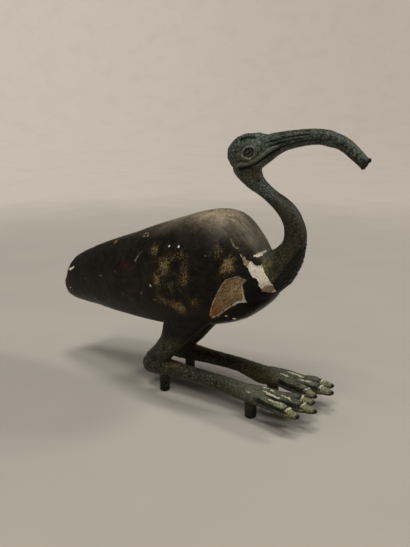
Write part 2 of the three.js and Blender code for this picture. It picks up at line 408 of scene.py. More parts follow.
class Paint:
    """A material's nodes, with a short call for each kind that is used."""

    def __init__(self, name, metallic, specular):
        self.material = bpy.data.materials.new(name)
        self.material.use_nodes = True
        self.tree = self.material.node_tree
        self.shader = self.tree.nodes["Principled BSDF"]
        self.shader.inputs["Metallic"].default_value = metallic
        self.shader.inputs["Specular IOR Level"].default_value = specular
        self.place = self.node("ShaderNodeTexCoord").outputs["Object"]

    def node(self, kind, **settings):
        made = self.tree.nodes.new(kind)
        for key, value in settings.items():
            setattr(made, key, value)
        return made

    def feed(self, socket, value):
        if isinstance(value, bpy.types.NodeSocket):
            self.tree.links.new(value, socket)
        elif isinstance(value, tuple):
            socket.default_value = (*value, 1)
        else:
            socket.default_value = value

    def mask(self, name):
        return self.node("ShaderNodeAttribute", attribute_name=name).outputs["Fac"]

    def stretched(self, x, y, z, turn=0.0):
        """The place, turned about y and then scaled."""
        mapping = self.node("ShaderNodeMapping", vector_type="TEXTURE")
        self.feed(mapping.inputs["Vector"], self.place)
        mapping.inputs["Rotation"].default_value = (0, turn, 0)
        mapping.inputs["Scale"].default_value = (x, y, z)
        return mapping.outputs["Vector"]

    def noise(self, size, detail=3.0, rough=0.55, place=None, distortion=0.0):
        """Noise from 0 to 1 whose lumps are about size millimetres across."""
        made = self.node("ShaderNodeTexNoise")
        self.feed(made.inputs["Vector"], self.place if place is None else place)
        made.inputs["Scale"].default_value = 1000 / size
        made.inputs["Detail"].default_value = detail
        made.inputs["Roughness"].default_value = rough
        made.inputs["Distortion"].default_value = distortion
        return made.outputs["Fac"]

    def cells(self, size, feature="F1", place=None):
        made = self.node("ShaderNodeTexVoronoi", feature=feature)
        self.feed(made.inputs["Vector"], self.place if place is None else place)
        made.inputs["Scale"].default_value = 1000 / size
        return made.outputs["Distance"]

    def sum(self, a, b, how="ADD"):
        made = self.node("ShaderNodeMath", operation=how)
        self.feed(made.inputs[0], a)
        self.feed(made.inputs[1], b)
        return made.outputs[0]

    def times(self, a, b):
        return self.sum(a, b, "MULTIPLY")

    def between(self, value, low, high, start=0.0, end=1.0):
        """Start below low, end above high and a smooth change between."""
        made = self.node("ShaderNodeMapRange", interpolation_type="SMOOTHSTEP")
        self.feed(made.inputs["Value"], value)
        for name, number in (("From Min", low), ("From Max", high), ("To Min", start), ("To Max", end)):
            made.inputs[name].default_value = number
        return made.outputs["Result"]

    def mix(self, share, a, b):
        made = self.node("ShaderNodeMix", data_type="RGBA")
        self.feed(made.inputs["Factor"], share)
        self.feed(made.inputs["A"] if "A" in made.inputs else made.inputs[6], a)
        self.feed(made.inputs[7], b)
        return made.outputs[2]

    def blend(self, share, a, b):
        made = self.node("ShaderNodeMix", data_type="FLOAT")
        self.feed(made.inputs["Factor"], share)
        self.feed(made.inputs[2], a)
        self.feed(made.inputs[3], b)
        return made.outputs[0]

    def finish(self, color, roughness, height, depth):
        """depth is how many millimetres a height of 1 stands out."""
        self.feed(self.shader.inputs["Base Color"], color)
        self.feed(self.shader.inputs["Roughness"], roughness)
        bump = self.node("ShaderNodeBump")
        self.feed(bump.inputs["Height"], height)
        bump.inputs["Distance"].default_value = depth / 1000
        self.feed(self.shader.inputs["Normal"], bump.outputs["Normal"])
        return self.material


def coat_material():
    """Dark varnish over gesso over wood. The masks hold how far inside each loss a point is, in
    millimetres, so their edges stay sharp."""
    p = Paint("coated_wood", 0.0, 0.11)
    fine = p.noise(1.1, 4, 0.65)
    grit = p.noise(0.5, 2, 0.6)
    blotch = p.noise(8, 5, 0.62, distortion=0.7)
    broad = p.noise(26, 3)
    # Varnish, with dust caught in it
    varnish = p.mix(p.between(blotch, 0.35, 0.7), (0.0075, 0.0065, 0.004), (0.021, 0.0165, 0.0095))
    varnish = p.mix(p.between(broad, 0.45, 0.7, 0, 0.5), varnish, (0.02, 0.0135, 0.0125))
    dust = p.times(p.between(p.cells(2.6), 0.16, 0.05), p.between(broad, 0.42, 0.6, 0, 0.5))
    varnish = p.mix(dust, varnish, (0.11, 0.105, 0.07))
    # The pale back: painted light and sheen from the lamps overhead on a worn, dusty coat, brushed along the shoulder
    # and thinned in patches
    streaks = p.noise(1.3, 4, 0.7, place=p.stretched(1, 1, 6, -0.75))
    pale_breaks = p.times(p.between(blotch, 0.22, 0.62, 0.35, 1), p.between(streaks, 0.3, 0.6, 0.45, 1))
    pale_breaks = p.times(pale_breaks, p.between(grit, 0.3, 0.6, 0.7, 1))
    pale = p.times(p.mask("pale"), pale_breaks)
    pale_color = p.mix(p.between(broad, 0.35, 0.65), (0.31, 0.26, 0.16), (0.46, 0.365, 0.23))
    color = p.mix(pale, varnish, pale_color)
    # Ochre where the coat is rubbed
    rubbed = p.sum(p.times(fine, 0.75), p.times(blotch, 0.35))
    rubbed = p.between(p.sum(rubbed, p.times(p.mask("worn"), 0.24)), 0.63, 0.8)
    worn = p.times(p.sum(p.times(p.mask("worn"), 1.5), 1, "MINIMUM"), rubbed)
    ochre = p.mix(p.between(grit, 0.42, 0.6), (0.13, 0.083, 0.024), (0.4, 0.29, 0.125))
    color = p.mix(worn, color, ochre)
    color = p.mix(p.times(p.mask("red"), p.between(fine, 0.42, 0.6)), color, (0.07, 0.014, 0.011))
    # Painted shade: the coat under the breast and belly is made near black
    color = p.mix(p.times(p.mask("gloss_and_shade"), 0.93), color, (0.0012, 0.0012, 0.0012))
    lip = p.times(p.mask("lip"), p.between(fine, 0.42, 0.6))
    color = p.mix(lip, color, (0.62, 0.5, 0.32))
    # Gesso
    pitted = p.between(p.cells(1.5), 0.2, 0.05)
    gesso_color = p.mix(p.between(fine, 0.34, 0.54), (0.5, 0.36, 0.21), (0.95, 0.88, 0.7))
    gesso_color = p.mix(p.times(pitted, 0.85), gesso_color, (0.07, 0.045, 0.025))
    ragged = p.between(grit, 0, 1, -0.3, 0.3)
    gesso = p.between(p.sum(p.mask("gesso"), ragged), -0.06, 0.06)
    color = p.mix(gesso, color, gesso_color)
    tan = p.times(p.between(p.sum(p.mask("tan"), ragged), -0.2, 0.4), gesso)
    tan_color = p.mix(p.between(fine, 0.35, 0.6), (0.11, 0.06, 0.028), (0.32, 0.2, 0.1))
    color = p.mix(p.times(tan, 0.85), color, tan_color)
    # Wood
    fibre = p.noise(0.8, 4, 0.75, place=p.stretched(1, 1, 8, 0.93))
    streak = p.noise(2.4, 3, 0.6, place=p.stretched(1, 1, 6, 0.93))
    wood_color = p.mix(p.between(fibre, 0.32, 0.66), (0.12, 0.065, 0.026), (0.46, 0.315, 0.165))
    wood_color = p.mix(p.between(streak, 0.48, 0.66, 0, 0.55), wood_color, (0.16, 0.075, 0.03))
    wood_color = p.mix(p.times(p.mask("rusty"), p.between(fine, 0.35, 0.6, 0.3, 1)), wood_color, (0.3, 0.1, 0.03))
    # Painted highlight: paler grey on the upper right of the bare wood
    wood_color = p.mix(p.times(p.mask("wood_highlight"), p.between(fibre, 0.48, 0.66)), wood_color, (0.66, 0.57, 0.42))
    wood = p.between(p.sum(p.mask("wood"), ragged), -0.06, 0.06)
    color = p.mix(wood, color, wood_color)
    rim = p.between(p.sum(p.mask("rim"), ragged), 0.42, 0.56)
    color = p.mix(rim, color, (0.78, 0.72, 0.58))
    color = p.mix(p.between(p.mask("crack"), 0.35, 0.75), color, (0.003, 0.002, 0.0015))
    bare = p.sum(p.sum(gesso, wood, "MAXIMUM"), rim, "MAXIMUM")
    rough = p.blend(p.mask("gloss_and_shade"), p.between(blotch, 0.3, 0.7, 0.34, 0.5), 0.2)
    rough = p.blend(p.sum(worn, pale, "MAXIMUM"), rough, 0.6)
    rough = p.blend(bare, rough, 0.9)
    height = p.sum(p.times(fine, 0.55), p.times(grit, 0.25))
    height = p.sum(height, p.times(p.times(streaks, p.mask("pale")), 0.5))
    height = p.sum(height, p.times(p.times(fibre, wood), 1.8))
    height = p.sum(height, p.times(p.times(p.cells(1.5), gesso), 1.4))
    return p.finish(color, rough, height, 0.17)


def bronze_material(name, deep, middle, pale, green):
    """Patinated bronze: mottled, with dark pits, pale crust, paler tops with painted highlight on the ridges, and
    painted shade in grooves and creases.
    """
    p = Paint(name, 0.0, 0.2)
    fine = p.noise(1.2, 4, 0.68)
    grit = p.noise(0.5, 3, 0.6)
    blotch = p.noise(5, 4, 0.62, distortion=0.6)
    broad = p.noise(20, 3)
    color = p.mix(p.between(blotch, 0.39, 0.58), deep, middle)
    speck = p.times(p.between(fine, 0.48, 0.61), p.between(broad, 0.3, 0.6, 0.4, 0.95))
    color = p.mix(speck, color, pale)
    # Painted highlight on the ridges and eye rims, and paler tops and feet
    color = p.mix(p.times(p.mask("raised"), p.between(fine, 0.35, 0.6, 0.25, 0.85)), color, pale)
    color = p.mix(p.times(p.mask("ochre"), p.between(fine, 0.38, 0.6, 0.2, 1)), color, (0.2, 0.12, 0.035))
    color = p.mix(p.times(p.mask("red"), p.between(blotch, 0.3, 0.6, 0.4, 1)), color, (0.085, 0.028, 0.012))
    color = p.mix(p.times(p.mask("green"), p.between(fine, 0.4, 0.58, 0.15, 1)), color, green)
    color = p.mix(p.times(p.mask("nail"), p.between(fine, 0.4, 0.58, 0.12, 0.95)), color, (0.27, 0.25, 0.125))
    crust = p.between(p.sum(p.mask("crust"), p.between(fine, 0.25, 0.75, -0.45, 0.45)), 0.38, 0.68)
    crust_color = p.mix(p.between(grit, 0.35, 0.6), (0.33, 0.3, 0.18), (0.68, 0.62, 0.45))
    color = p.mix(crust, color, crust_color)
    holes = p.between(grit, 0.41, 0.32)
    # Painted shade in grooves, creases, gaps between toes and under things, with dark pits
    dark = p.sum(p.mask("dark"), p.times(holes, 0.8), "MAXIMUM")
    dark = p.sum(dark, p.times(p.mask("hollow_shade_and_pits"), 0.95), "MAXIMUM")
    color = p.mix(dark, color, (0.0035, 0.0035, 0.002))
    rough = p.blend(crust, p.between(blotch, 0.3, 0.7, 0.36, 0.56), 0.85)
    height = p.sum(p.times(fine, 0.7), p.times(grit, 0.55))
    height = p.sum(height, p.times(crust, 1.0))
    return p.finish(color, rough, height, 0.24)


# Body: an egg-shaped section, narrower on the back, with a soft ridge along each wing's upper edge

RIDGE_WIDTH = 0.2
RIDGE_AT_SHOULDER = 0.78
RIDGE_AT_TAIL = 0.2


def ridge_angle(share):
    return RIDGE_AT_TAIL + (RIDGE_AT_SHOULDER - RIDGE_AT_TAIL) * share**1.5


def body_section(angle, share, half):
    from_ridge = (np.minimum(angle, FULL_TURN - angle) - ridge_angle(share)) / RIDGE_WIDTH
    fade = np.sin(math.pi * share).clip(0) ** 0.7 * share
    ridge = 1 + WING_RIDGE_HEIGHT / half * fade * np.exp(-(from_ridge**2))
    return np.cos(angle) * ridge, np.sin(angle) * ridge * (1 - 0.1 * np.cos(angle))


# Cracks through the coat, as points in space
LONG_CRACK = [(-16, -19, 128.2), (-14.2, -21.4, 126), (-13.6, -25.3, 121.6), (-15.1, -28.2, 116.8), (-17.6, -31.5, 108.8)]
SHOULDER_CRACK = [(61.8, -21.9, 137), (63.7, -22.3, 134.4), (66, -22.4, 131.2), (67.9, -21.6, 129.9), (70.5, -18.5, 129.1)]
STRIP_CRACK = [(70.5, -18.5, 129.1), (73.4, -17.8, 126.2), (76.3, -16.4, 123), (80.5, -13.1, 119.2)]
LEFT_CRACK = [(30, 27, 143), (27, 33, 132), (29, 38, 119)]
LEFT_SHORT_CRACK = [(-60, 20, 112), (-57, 25, 104), (-60, 27.5, 96)]
CRACKS = [(LONG_CRACK, 0.42), (SHOULDER_CRACK, 0.45), (STRIP_CRACK, 0.4), (LEFT_CRACK, 0.4), (LEFT_SHORT_CRACK, 0.35)]
# Pale broken edges beside the cracks
LIPS = [
    ([(-18, -15.5, 130), (-18.6, -17.2, 128.3), (-16.5, -19, 127.4)], 0.6),
    ([(-18, -15.5, 130), (-14, -17, 130), (-13.1, -18.6, 129.2), (-14, -20, 127.6)], 0.55),
    ([(-13.2, -27.5, 118.5), (-15.6, -29.4, 114), (-17.4, -30.8, 110.5)], 0.5),
    ([(62.6, -21.2, 137), (64.6, -21.6, 134.2), (66.9, -21.6, 131.2), (69.8, -19.4, 129.6)], 0.5),
]

# Chips down to the gesso, as x, z, radius and side, with -1 for the right
CHIPS = [
    (16.1, 127.1, 0.75, -1), (25.8, 128.3, 0.9, -1), (2.5, 96.2, 0.85, -1), (3.6, 95.5, 0.7, -1),
    (-104.4, 70.5, 0.7, -1), (-102.2, 68.6, 0.6, -1), (78.6, 124.8, 0.85, -1), (61.9, 78.8, 0.75, -1),
    (65, 75.2, 0.95, -1), (57.1, 78.8, 0.8, -1), (79.8, 124.4, 1.2, -1), (81.6, 122.6, 0.75, -1), (83, 119.2, 0.6, -1), (83.2, 118, 0.6, -1),
    (-8, 118, 0.9, 1), (48, 101, 1.2, 1), (66, 92, 0.8, 1), (-70, 88, 0.7, 1),
]
# Pale scuffs, as x, z, radius and side
SCUFFS = [
    (-58.4, 91.2, 1.4, -1), (-52.3, 70.1, 1.3, -1), (-29.5, 82.3, 1.3, -1), (-7.3, 87.8, 1.5, -1),
    (-19.8, 80, 1.2, -1), (6.4, 84.9, 2, -1), (50.4, 125.1, 1.2, -1), (-53.6, 117.7, 2.4, -1),
    (-40, 98, 1.1, -1), (-80, 84, 1.2, -1), (40, 70, 1.6, 1), (-20, 100, 2, 1), (12, 124, 1.8, 1),
]
TAIL_CHIP = [(-109.5, -11.5, 85), (-105.9, -14.5, 87), (-101.4, -15.2, 89.3)]
TAIL_NOTCH = (-111.5, -11, 80)


def edge_inside(points, outline, side, seed, ragged=0.35):
    """How far inside an outline on one side each point is, in millimetres, with a ragged edge."""
    distance, _, inside = near_path(points[:, [0, 2]], outline, closed=True)
    signed = np.where(inside, distance, -distance) + ragged * fractal(points, 2.6, 3, seed)
    return np.where(side * points[:, 1] > -4, signed, -99)


def line_mask(points, path, width, wobble=0.35):
    """1 on a line through the points and 0 beside it, thinning out at its ends."""
    shaken = points + wobble * np.stack([noise(points, 3, k) for k in (11, 12, 13)], axis=1)
    distance, along, _ = near_path(shaken, smooth_path(path))
    thin = width * (0.25 + 0.75 * step(np.minimum(along, 1 - along), -0.05, 0.3))
    return np.exp(-((distance / thin) ** 2))


def ridge_height(points, share):
    """How far a point lies above the ridge of the wing, in millimetres round the body."""
    middle = np.interp(points[:, 0], [-116, -84, -44, -2, 31, 60, 90], [75, 82, 89, 97, 106, 108, 105])
    angle = np.abs(np.arctan2(points[:, 1], points[:, 2] - middle))
    return (ridge_angle(share.clip(0, 1)) - angle) * 38


# Rubbed, ochre places: x, z, half length, half height, strength and side
WORN_PLACES = [
    (29, 83, 8, 6, 1, -1), (31, 80, 4, 4, 0.7, -1), (10, 102, 5, 6, 0.9, -1), (16, 113, 8, 9, 0.75, -1),
    (1, 122, 6, 5, 0.7, -1), (28, 122, 8, 7, 0.6, -1), (36, 108, 6, 10, 0.6, -1), (14, 86, 10, 6, 0.6, -1),
    (42, 88, 7, 6, 0.55, -1), (22, 98, 24, 22, 0.35, -1), (66, 119, 5, 7, 0.9, -1), (-20, 80, 14, 9, 0.3, -1),
    (58, 128, 5, 7, 0.55, -1), (20, 95, 22, 22, 0.65, 1), (62, 108, 8, 12, 0.7, 1), (-60, 92, 20, 10, 0.3, 1),
]


def body_masks(points):
    x, y, z = points.T
    share = np.interp(x, [TAIL_END, 95], [0, 1])
    wood = edge_inside(points, BREAST_LOSS, -1, 3)
    gesso = edge_inside(points, NECK_LOSS, -1, 5, 0.5)
    facing = step((x - 52) * 0.72 - (z - 74) * 0.56, 3, 6)
    rim = np.where((wood > 0) & (wood < 2.4), 1 - np.abs(wood - 0.5) / (0.35 + 0.75 * facing), 0).clip(0)
    rim = np.maximum(rim, step(2.6 - np.hypot(x - 77, (z - 92.5) * 0.8), 0, 0.8) * (wood > 0))
    chips = np.full(len(points), -99.0)
    for cx, cz, radius, side in CHIPS:
        away = np.hypot(x - cx, z - cz) + 0.3 * noise(points, 1.3, 21)
        chips = np.maximum(chips, np.where(side * y > -4, radius - away, -99))
    tail_chip = 1.2 - near_path(points, smooth_path(TAIL_CHIP))[0]
    chips = np.maximum(chips, tail_chip + 0.6 * noise(points, 1.6, 31))
    crack = np.zeros(len(points))
    for path, width in CRACKS:
        crack = np.maximum(crack, line_mask(points, path, width))
    lip = np.zeros(len(points))
    for path, width in LIPS:
        lip = np.maximum(lip, line_mask(points, path, width, 0.15))
    # Painted light and sheen on the back above the wing ridge, where the coat is also worn
    above = ridge_height(points, share)
    pale = step(above, -9, 7) * step(x, -48, 15) * step(z, 98, 124)
    pale *= 0.42 + 0.58 * step(above, 0, 16)
    pale *= (0.85 + 0.35 * fractal(points, 18, 2, 80)) * (1 - 0.45 * step(x, 50, 66))
    pale = np.maximum(pale, 0.3 * step(above, -4, 10) * step(x, -112, -80))
    worn = np.zeros(len(points))
    for place in WORN_PLACES:
        worn = np.maximum(worn, place[4] * spot(points, *place[:4], side=place[5]))
    for sx, sz, radius, side in SCUFFS:
        worn = np.maximum(worn, 0.9 * spot(points, sx, sz, radius, radius * 0.8, side=side))
    # A glossier coat under the breast and belly, made near black there as painted shade
    gloss_and_shade = spot(points, 84, 88, 12, 20) + spot(points, 84, 88, 16, 22, side=1) + spot(points, 62, 68, 22, 9)
    tan = 5 - np.linalg.norm((points - (88, -11, 100.5)) * (0.75, 1, 1.4), axis=1)
    tan = np.maximum(tan, 4 - np.linalg.norm((points - (74, -20, 122)) * (1, 1, 0.7), axis=1))
    return {
        "wood": wood,
        "gesso": np.maximum(gesso, chips),
        "rim": rim,
        "rusty": spot(points, 56, 82, 5, 7),
        "wood_highlight": 0.8 * spot(points, 73, 101, 5, 8),
        "tan": np.where(y < 2, tan, -9),
        "crack": crack,
        "lip": lip,
        "pale": pale.clip(0, 1),
        "worn": worn.clip(0, 1),
        "red": spot(points, -28.3, 104.5, 5, 3.5),
        "gloss_and_shade": step(gloss_and_shade, 0.3, 0.85),
    }


def make_body():
    mesh = mesh_of("body_coat", [loft(BODY_STATIONS, BODY_SIDES, BODY_RINGS, body_section, dome=1.2)])
    points = read(mesh, "co")
    masks = body_masks(points)
    wood, gesso = masks["wood"], masks["gesso"]
    lumps = 0.26 * fractal(points, 19, 3, 40) + 0.07 * fractal(points, 5, 2, 50)
    fibre_place = points @ np.array([[0.6, 0, 0.8], [0, 1, 0], [-0.8, 0, 0.6]])
    fibres = fractal(fibre_place, np.array([1.6, 3, 9.0]), 2, 60)
    depth = lumps - 0.5 * masks["crack"] + 0.3 * masks["lip"]
    depth += step(wood, -0.15, 0.3) * (-COAT_DEPTH + 0.2 * fibres)
    depth += step(gesso, -0.15, 0.25) * (-VARNISH_DEPTH + 0.2 * fractal(points, 2.2, 3, 70))
    depth += 0.16 * np.exp(-(((np.maximum(wood, gesso) + 0.7) / 0.55) ** 2))
    depth -= 1.3 * np.exp(-(np.linalg.norm((points - TAIL_NOTCH) * (1, 0.5, 0.7), axis=1) / 2.2) ** 2)
    carve(mesh, depth)
    return finish_piece("body_coat", mesh, coat_material(), "body", masks)


# Head and neck: lines of carving on the right, each repeated on the left

BROW = [(59.5, -7.4, 204.8), (61.1, -6.7, 206.3), (64.5, -5.7, 208.4), (68.1, -5, 209.5), (72, -4.4, 209.6), (76, -3.6, 208.6)]
BROW_HOLLOW = [(60.5, -7.8, 203.6), (62.5, -7.2, 205), (66, -6.6, 206.3), (70, -6.4, 206.6), (74.6, -6.2, 205.6)]
CROWN_LIP = [(70, -4.6, 209.2), (72.4, -2, 210.2), (72.8, 0, 210.4)]
CROWN_DIP = [(79, -4.2, 207.6), (79.8, -2, 208.8), (80, 0, 209.2)]
JAW_ROLL = [(58.5, -8.2, 186.4), (63.3, -9.4, 187.3), (69.7, -9.3, 188.9), (75.6, -8.4, 191.8), (80.5, -7.4, 195.4), (85.5, -6.6, 199.2), (92, -5.8, 202)]
JAW_GROOVE = [(61, -8.8, 184.5), (66.3, -8, 185.4), (71.6, -7.5, 187), (76.4, -6.8, 189.8), (81, -6.3, 193), (86, -5.6, 196.4), (93, -5, 200)]
NAPE_CREASE = [(58.5, -9, 184), (62.5, -8.5, 183.3), (68.4, -7.3, 182.9), (72.7, -3.6, 182.4), (74, 0, 182.2)]
WRINKLES = [
    [(57, -9.2, 197.2), (59.7, -9.6, 199), (62.6, -10, 198.4)],
    [(57.4, -9.8, 193.4), (60, -10.2, 195.6), (62.6, -10.3, 196)],
    [(58.4, -9.5, 190.2), (61, -9.8, 192.2), (64.2, -10.3, 192.8)],
    [(59.5, -9.3, 188.4), (62.5, -9.7, 189.8), (66, -10, 190.4)],
]
# The bill's grooves, from the ridge down to the line of the mouth, each with its depth
BILL_GROOVES = [
    ([(80, -3.6, 207.9), (85.8, -3.4, 209.3), (95.9, -3.2, 210.6), (104.7, -3.1, 211.5), (113, -3, 211.9)], 0.5),
    ([(83, -7, 203.2), (88.2, -6.4, 204.8), (93.1, -5.9, 205.9), (98.8, -5.4, 207.2), (105.8, -5.1, 208.6), (114, -4.8, 209.5)], 0.75),
    ([(83, -7.4, 199.6), (85.7, -7, 200.9), (89.1, -6.4, 202.2), (93.2, -5.8, 203.6), (98.8, -5.3, 205.1), (105.8, -5, 206.6), (114, -4.6, 207.6)], 0.7),
    ([(87, -6, 197.8), (94, -5, 201), (100.2, -4.8, 202.8), (105.8, -4.6, 204.2), (114.3, -4.6, 205.6), (126.6, -4.4, 206), (137, -4.3, 202), (146, -4.1, 195.8)], 0.6),
]
BILL_RIDGE = [(83, -7.2, 201.5), (88.5, -6.4, 203.3), (94, -5.7, 204.8), (100, -5.3, 206.2), (110, -4.9, 208)]
EYE = {"middle": (70.3, -10, 196), "length": 5, "height": 3.7, "tilt": 0.5}


def eye_frame(points, side):
    """Places along and across the eye, in millimetres, and which points are on its side."""
    x, y, z = EYE["middle"]
    along = (points[:, 0] - x) * math.cos(EYE["tilt"]) + (points[:, 2] - z) * math.sin(EYE["tilt"])
    across = (points[:, 2] - z) * math.cos(EYE["tilt"]) - (points[:, 0] - x) * math.sin(EYE["tilt"])
    return along, across, side * points[:, 1] > 2


def eye_carving(points):
    """The raised rim and ball of both eyes, and 1 in the slot of each pupil and on each rim."""
    height = np.zeros(len(points))
    rims = np.zeros(len(points))
    pupil = np.zeros(len(points))
    for side in (-1, 1):
        along, across, here = eye_frame(points, side)
        ring = np.hypot(along / EYE["length"], across / EYE["height"])
        rim = np.exp(-(((ring - 1) * 4.3 / 1.0) ** 2)) * (1 + 0.35 * noise(points, 2.2, 140))
        ball = 0.55 * step(1 - ring, 0.3, 0.9)
        moat = 0.75 * np.exp(-(((ring - 0.72) * 4.3 / 0.6) ** 2))
        outer = 0.6 * np.exp(-(((ring - 1.5) * 4.3 / 0.9) ** 2)) * step(-along, -1, 4)
        slot = np.exp(-((along / 2.4) ** 4) - (((across + 0.2) / 0.8) ** 2))
        height += np.where(here, 1.25 * rim + ball - moat - outer - 1.2 * slot, 0)
        rims = np.maximum(rims, np.where(here, rim.clip(0, 1), 0))
        pupil = np.maximum(pupil, np.where(here, np.maximum(slot, 0.7 * np.exp(-(((ring - 0.72) * 8) ** 2))), 0))
    return height, pupil, rims


def make_head_and_neck():
    mesh = fused("head_and_neck_cast", [
        loft(NECK_STATIONS, LOFT_SIDES, LOFT_RINGS),
        loft(HEAD_STATIONS, LOFT_SIDES, LOFT_RINGS, dome=0.4),
    ])
    points = read(mesh, "co")
    x, y, z = points.T
    ridges = both_sides(points, BROW, 1.0, 1.1) + both_sides(points, JAW_ROLL, 1.35, 1.5, 0.12)
    ridges += both_sides(points, BILL_RIDGE, 0.7, 0.4)
    ridges += both_sides(points, CROWN_LIP, 1.4, 0.45, 0)
    grooves = both_sides(points, BROW_HOLLOW, 1.5, 1.0) + both_sides(points, JAW_GROOVE, 1.0, 1.1, 0.08)
    grooves += both_sides(points, CROWN_DIP, 2.2, 0.3, 0) + both_sides(points, NAPE_CREASE, 1.1, 0.5)
    for path in WRINKLES:
        grooves += both_sides(points, path, 0.7, 0.6, 0.3)
    for path, deep in BILL_GROOVES:
        grooves += both_sides(points, path, 0.62, deep, 0.12) * (1 + 0.5 * noise(points, 3.5, 150))
    eyes, pupil, rims = eye_carving(points)
    head = step(z, 178, 184) * step(-x, -92, -70)
    skin = 0.15 * fractal(points, 5, 3, 100) + head * 0.24 * fractal(points, 3, 2, 110)
    holes = pits(points, 1.7, 0.35, 120)
    break_face = step((x - BILL_END + 2.4) * 0.83 - (z - 191) * 0.56, -2.2, 0.2)
    skin += break_face * 0.5 * fractal(points, 1.8, 2, 130)
    spur = 1.3 * np.exp(-(np.linalg.norm(points - (BILL_END - 0.2, 0, 194.4), axis=1) / 1.2) ** 2)
    carve(mesh, ridges - grooves + eyes + skin - 0.24 * holes + spur)
    low = step(-z, -136, -112)
    foot = step(17 - np.linalg.norm((points - (86, -8, 112)) * (1, 0.6, 0.75), axis=1), 7, 12)
    # Painted shade under the bill and on the throat, which face down; some ochre goes there too
    under_bill = step(x, 84, 92) * step(-y * 0 - (z - np.interp(x, [84, 104, 118, 126, 134, 141, 149], [194, 201.6, 203.4, 203, 201, 197, 190])), -1.2, 0.6)
    # Painted highlight on the ridges and eye rims, the upper head paler on its right side, and painted shade in the
    # grooves; dark pits, pupils and broken bill end; the front of the neck darker towards the bottom
    masks = {
        "raised": (step(ridges + eyes.clip(0), 0.2, 1.0) + 0.25 * head * step(-y, 4, 9)).clip(0, 1),
        "hollow_shade_and_pits": np.maximum(step(grooves, 0.2, 0.7), 0.75 * holes),
        "dark": np.maximum.reduce([pupil, 0.9 * break_face, 0.9 * low * step(x, 88, 102), 0.55 * under_bill]),
        "green": foot * step(-y, 2, 8) * (0.6 + 0.5 * fractal(points, 5, 2, 160)).clip(0, 1),
        "crust": 0.9 * spot(points, 92, 109.2, 1, 1) + 0.5 * rims,
        "ochre": 0.5 * spot(points, 73, 181, 4, 3) + 0.35 * under_bill,
        "red": 0 * x,
        "nail": 0 * x,
    }
    paint = bronze_material(
        "head_bronze", (0.011, 0.0145, 0.009), (0.045, 0.055, 0.036), (0.18, 0.2, 0.142), (0.26, 0.235, 0.045)
    )
    return finish_piece("head_and_neck_cast", mesh, paint, "head_and_neck", masks)


# Legs

# Pale deposits on the feet, as points in space with a width
RIGHT_DEPOSITS = [
    ([(84, -14.5, 24), (89, -13.3, 23.6), (94.6, -12.9, 22.8), (99, -13.6, 22.2)], 1.1),
    ([(85.4, -19.1, 23.4), (90, -18.4, 23), (95.1, -18.5, 22.6), (101.9, -18.9, 21.9), (106.1, -19.1, 21.6)], 1.2),
    ([(103.4, -16.9, 22), (105.9, -14.4, 21.9), (109.9, -15.5, 22.4), (113.8, -18.6, 22)], 1.0),
    ([(79, -24, 23.2), (83.9, -25, 22.9), (85, -22.6, 23.4), (89.1, -25.4, 22.6)], 0.8),
    ([(96, -24, 22.4), (101, -26, 22.4), (106.6, -27, 22.4), (113, -28.6, 21.8)], 0.9),
]
LEFT_DEPOSITS = [
    ([(86, 14.6, 23.2), (90.9, 15.3, 22.8), (98.1, 16.3, 22.4)], 0.8),
    ([(104, 16.8, 22.1), (109, 16.9, 22.1), (114.9, 16.6, 22.3)], 0.9),
    ([(88, 21.4, 23), (97, 22.4, 22.6), (106, 23.4, 22)], 0.8),
]
RIGHT_GREEN = [(109.5, -28.6, 22, 4.5)]
LEFT_GREEN = [(114, 11.4, 20.6, 3.5), (124, 17, 20.4, 3)]


def toe_line(leg, toe):
    """The x and y of a toe's root and of its claw."""
    reach, aside = toe
    root = math.copysign(TOE_ROOT_SPREAD, aside) if abs(aside) > TOE_ROOT_SPREAD else 0.0
    middle = leg["side"] * LEG_SPACING / 2
    return np.array((TOE_ROOT, middle + root)), np.array((reach, middle + aside))


def toe_stations(leg, toe):
    root, claw = toe_line(leg, toe)
    rows = []
    for share, top, under, half in TOE_STATIONS:
        x, y = root + (claw - root) * share
        rows.append((x, top, x, under, half, y))
    return rows


def moved_aside(part, aside):
    points, faces = part
    return points + np.array((0, aside, 0)), faces


def toe_masks(points, leg):
    """Masks of the nails, their raised roots, the claws and the creases, and the way off the
    nearest toe's middle in millimetres."""
    z = points[:, 2]
    top = step(z, 15.5, 18.5)
    masks = {name: np.zeros(len(points)) for name in ("nail", "cuticle", "claw", "crease")}
    gap = np.full(len(points), 99.0)
    for toe in leg["toes"]:
        root, claw = toe_line(leg, toe)
        run = claw - root
        t = (points[:, :2] - root) @ run / (run @ run)
        off = np.abs((points[:, 0] - root[0]) * run[1] - (points[:, 1] - root[1]) * run[0]) / np.linalg.norm(run)
        mine = off < 4.6
        bowed = t + 0.0016 * off**2
        masks["nail"] = np.maximum(masks["nail"], mine * step(bowed, NAIL_ROOT, NAIL_ROOT + 0.015) * top)
        masks["cuticle"] = np.maximum(masks["cuticle"], mine * top * np.exp(-(((bowed - NAIL_ROOT - 0.005) / 0.016) ** 2)))
        masks["claw"] = np.maximum(masks["claw"], mine * step(t, 0.945, 0.975))
        line = np.exp(-(((bowed - NAIL_ROOT + 0.035) / 0.014) ** 2)) + 0.55 * np.exp(-(((bowed - 0.57) / 0.014) ** 2))
        masks["crease"] = np.maximum(masks["crease"], mine * top * line)
        gap = np.minimum(gap, np.where((t > 0.05) & (t < 1.1), off, 99))
    return masks, gap


